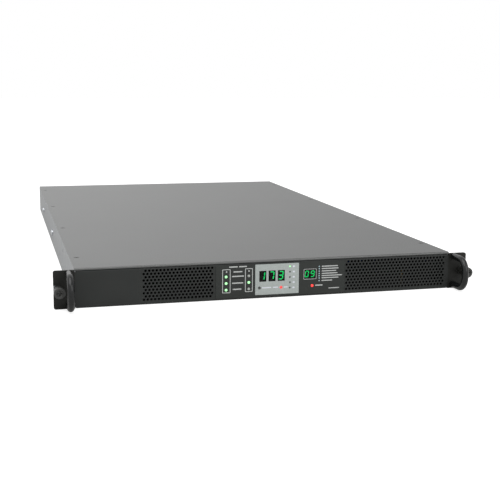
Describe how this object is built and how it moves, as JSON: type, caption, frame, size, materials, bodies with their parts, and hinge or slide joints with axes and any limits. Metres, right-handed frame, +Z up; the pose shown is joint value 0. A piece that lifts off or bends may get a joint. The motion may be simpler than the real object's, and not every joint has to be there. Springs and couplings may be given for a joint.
{
  "type": "rack static transfer switch",
  "caption": "Slim rack-mount box that feeds its rear outlets from whichever mains inlet is live, with a digit display, perforated vents, ears, bar handles and thumbscrews.",
  "frame": {"origin": "centre of the underside of the chassis, halfway between the side walls and halfway between the front and rear panels", "axes": "+X across the rack to the right seen from the front, +Y from the front panel to the rear panel, +Z up"},
  "size_m": [0.4838, 0.81, 0.044],
  "materials": {
    "galvanised_sheet": "galvanised, fine spangle",
    "black_coat": "black powder coat, semi-gloss",
    "black_screw": "black oxide",
    "overlay_film": "printed film, fine matt",
    "silver_film": "silver printed film",
    "clear_window": "clear smoked window",
    "display_black": "black",
    "green_light": "lit green",
    "green_lamp": "lit pale green",
    "dark_lamp": "unlit milky lens",
    "red_lamp": "lit red",
    "circuit_board": "green solder mask",
    "black_moulding": "moulded black",
    "fan_moulding": "moulded black",
    "handle_black": "gloss black",
    "zinc_screw": "bright zinc",
    "blackened_steel": "black oxide",
    "plated_wire": "nickel plated wire",
    "plated_contact": "nickel plated",
    "white_button": "white",
    "brass_stud": "plain brass",
    "copper": "copper",
    "yellow_case": "moulded",
    "blue_case": "moulded",
    "core_steel": "laminated core",
    "grey_cable": "flat cable",
    "fin_aluminium": "extruded"
  },
  "bodies": {
    "chassis": {"chassis_tray": "galvanised_sheet", "top_cover": "black_coat", "cover_screws": "black_screw", "front_panel": "black_coat", "display_overlay": "overlay_film", "meter_fascia": "silver_film", "display_windows": "clear_window", "digit_modules": "display_black", "digit_segments": "green_light", "green_lamps": "green_lamp", "dark_lamps": "dark_lamp", "red_lamps": "red_lamp", "display_board": "circuit_board", "button_switch": "black_moulding", "ear_left": "black_coat", "ear_right": "black_coat", "handle_left": "handle_black", "handle_right": "handle_black", "handle_screws": "zinc_screw", "ear_screws": "zinc_screw", "notch_washers": "zinc_screw", "side_screws": "zinc_screw", "fan_frames": "black_moulding", "finger_guards": "plated_wire", "fan_screws": "zinc_screw", "power_inlets": "black_moulding", "inlet_pins": "plated_contact", "small_outlets": "black_moulding", "large_outlet": "black_moulding", "outlet_board": "circuit_board", "socket_tabs": "plated_contact", "breaker_bodies": "black_moulding", "breaker_nuts": "zinc_screw", "network_jack": "plated_contact", "earth_stud": "brass_stud", "filter_board": "circuit_board", "filter_chokes": "copper", "film_capacitors": "yellow_case", "surge_arresters": "blue_case", "control_board": "circuit_board", "control_parts": "black_moulding", "control_transformer": "core_steel", "board_pillars": "brass_stud", "ribbon_cable": "grey_cable", "heat_sinks": "fin_aluminium", "thyristor_modules": "black_moulding", "backfeed_relays": "blue_case", "current_sensors": "black_moulding", "source_bars": "copper", "output_bars": "copper"},
    "fan_rotor_1": {"fan_rotor_1": "fan_moulding"},
    "fan_rotor_2": {"fan_rotor_2": "fan_moulding"},
    "fan_rotor_3": {"fan_rotor_3": "fan_moulding"},
    "select_button": {"select_button": "black_moulding"},
    "reset_button_a": {"reset_button_a": "white_button"},
    "reset_button_b": {"reset_button_b": "white_button"},
    "thumbscrew_left": {"thumbscrew_left": "blackened_steel", "retaining_ring_left": "zinc_screw"},
    "thumbscrew_right": {"thumbscrew_right": "blackened_steel", "retaining_ring_right": "zinc_screw"}
  },
  "joints": [
    {"name": "fan_1_spin", "type": "hinge", "parent": "chassis", "child": "fan_rotor_1", "pos_m": [0.184, 0.3654, 0.0214], "axis": [0, 1, 0], "continuous": true},
    {"name": "fan_2_spin", "type": "hinge", "parent": "chassis", "child": "fan_rotor_2", "pos_m": [0.142, 0.3654, 0.0214], "axis": [0, 1, 0], "continuous": true},
    {"name": "fan_3_spin", "type": "hinge", "parent": "chassis", "child": "fan_rotor_3", "pos_m": [0.1, 0.3654, 0.0214], "axis": [0, 1, 0], "continuous": true},
    {"name": "thumbscrew_left_turn", "type": "hinge", "parent": "chassis", "child": "thumbscrew_left", "pos_m": [-0.2356, -0.39, 0.0213], "axis": [0, -1, 0], "continuous": true},
    {"name": "thumbscrew_right_turn", "type": "hinge", "parent": "chassis", "child": "thumbscrew_right", "pos_m": [0.2356, -0.39, 0.0213], "axis": [0, -1, 0], "continuous": true},
    {"name": "select_button_press", "type": "slide", "parent": "chassis", "child": "select_button", "axis": [0, 1, 0], "range_m": [0, 0.0008], "stiffness_N_per_m": 400},
    {"name": "reset_button_a_travel", "type": "slide", "parent": "chassis", "child": "reset_button_a", "axis": [0, 1, 0], "range_m": [0, 0.003]},
    {"name": "reset_button_b_travel", "type": "slide", "parent": "chassis", "child": "reset_button_b", "axis": [0, 1, 0], "range_m": [0, 0.003]}
  ]
}
